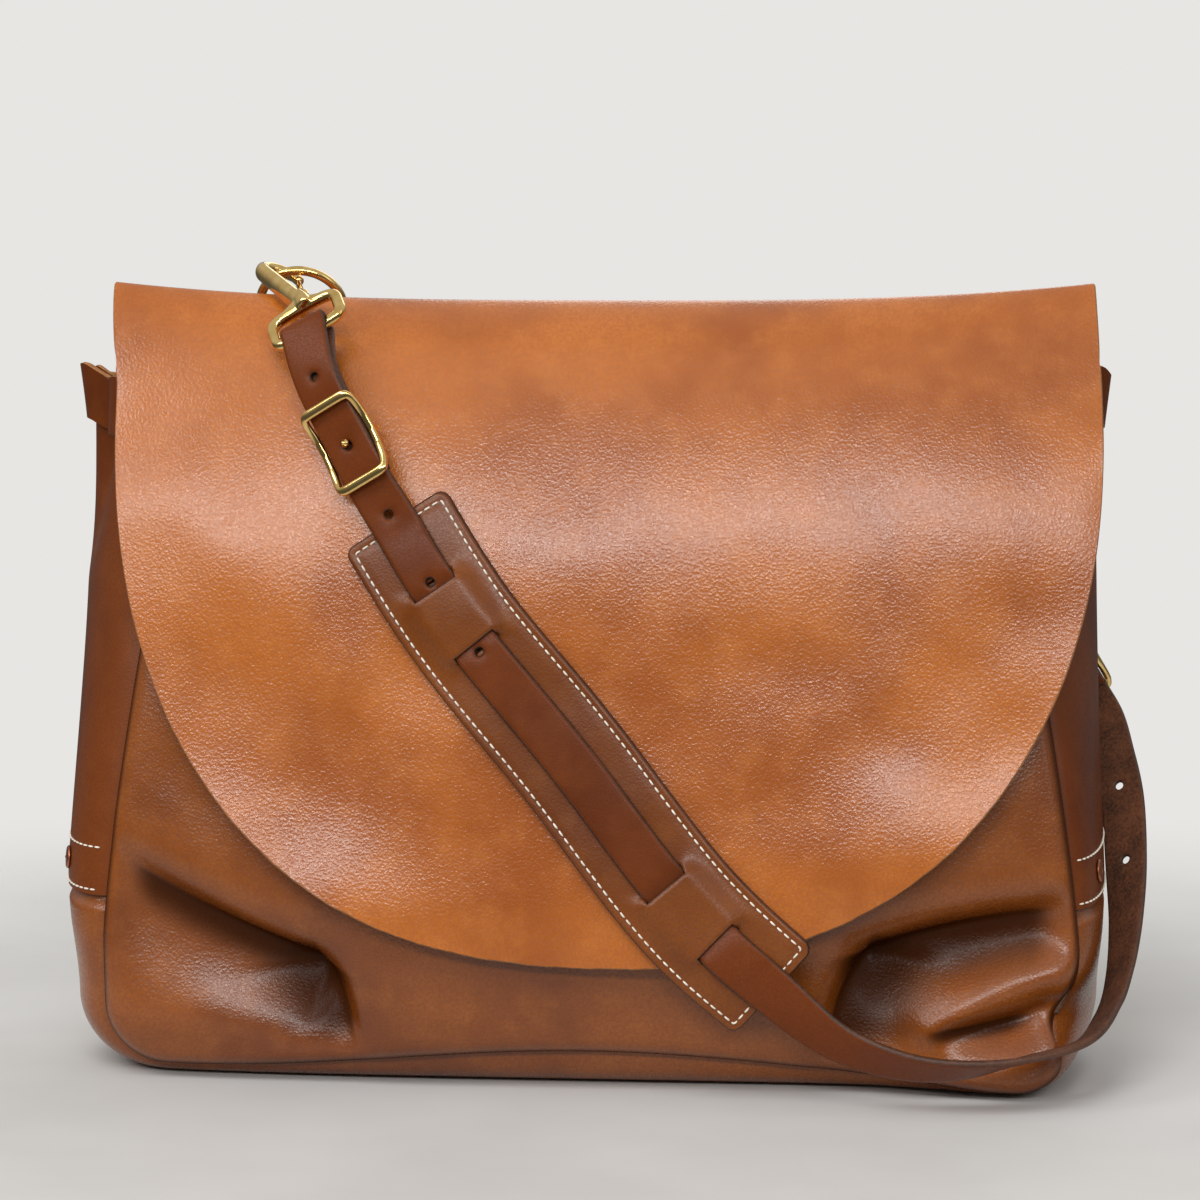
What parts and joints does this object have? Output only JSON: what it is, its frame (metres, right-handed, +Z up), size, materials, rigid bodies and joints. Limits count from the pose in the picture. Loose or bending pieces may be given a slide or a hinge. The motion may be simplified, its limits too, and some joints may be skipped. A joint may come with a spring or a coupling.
{
  "type": "leather messenger bag",
  "caption": "Soft leather messenger bag with a wide rounded flap, folded-in side gussets, a buckled shoulder strap on brass snap hooks and a slotted shoulder pad.",
  "frame": {"origin": "middle of the flat base, on the surface it stands on", "axes": "+X to the right seen from the flap side, +Y from the flap side to the back, +Z up"},
  "size_m": [0.4651, 0.1723, 0.3443],
  "materials": {
    "leather": "fine pebble grain, waxed caramel tan",
    "side_leather": "smooth chestnut brown",
    "strap_leather": "smooth dark brown with burnished edges",
    "pad_leather": "smooth brown with pale stitching",
    "brass": "polished",
    "copper": "dull copper"
  },
  "bodies": {
    "bag": {"back_flap": "leather", "front_panel": "leather", "gusset_base": "leather", "strap": "strap_leather", "pad_top": "pad_leather", "pad_base": "pad_leather", "gusset_left": "side_leather", "band_left": "side_leather", "rivet_left": "copper", "ring_left": "brass", "chape_left": "side_leather", "gusset_right": "side_leather", "band_right": "side_leather", "rivet_right": "copper", "ring_right": "brass", "chape_right": "side_leather", "buckle_front": "brass", "buckle_back": "brass", "snap_left": "brass", "snap_right": "brass"},
    "gate": {"snap_gate": "brass"}
  },
  "joints": [
    {"name": "snap_gate_hinge", "type": "hinge", "parent": "bag", "child": "gate", "pos_m": [-0.12483, -0.0154, 0.32894], "axis": [0.2903, -0.1695, 0.9418], "range_deg": [0, 16], "stiffness_Nm_per_rad": 0.02}
  ]
}
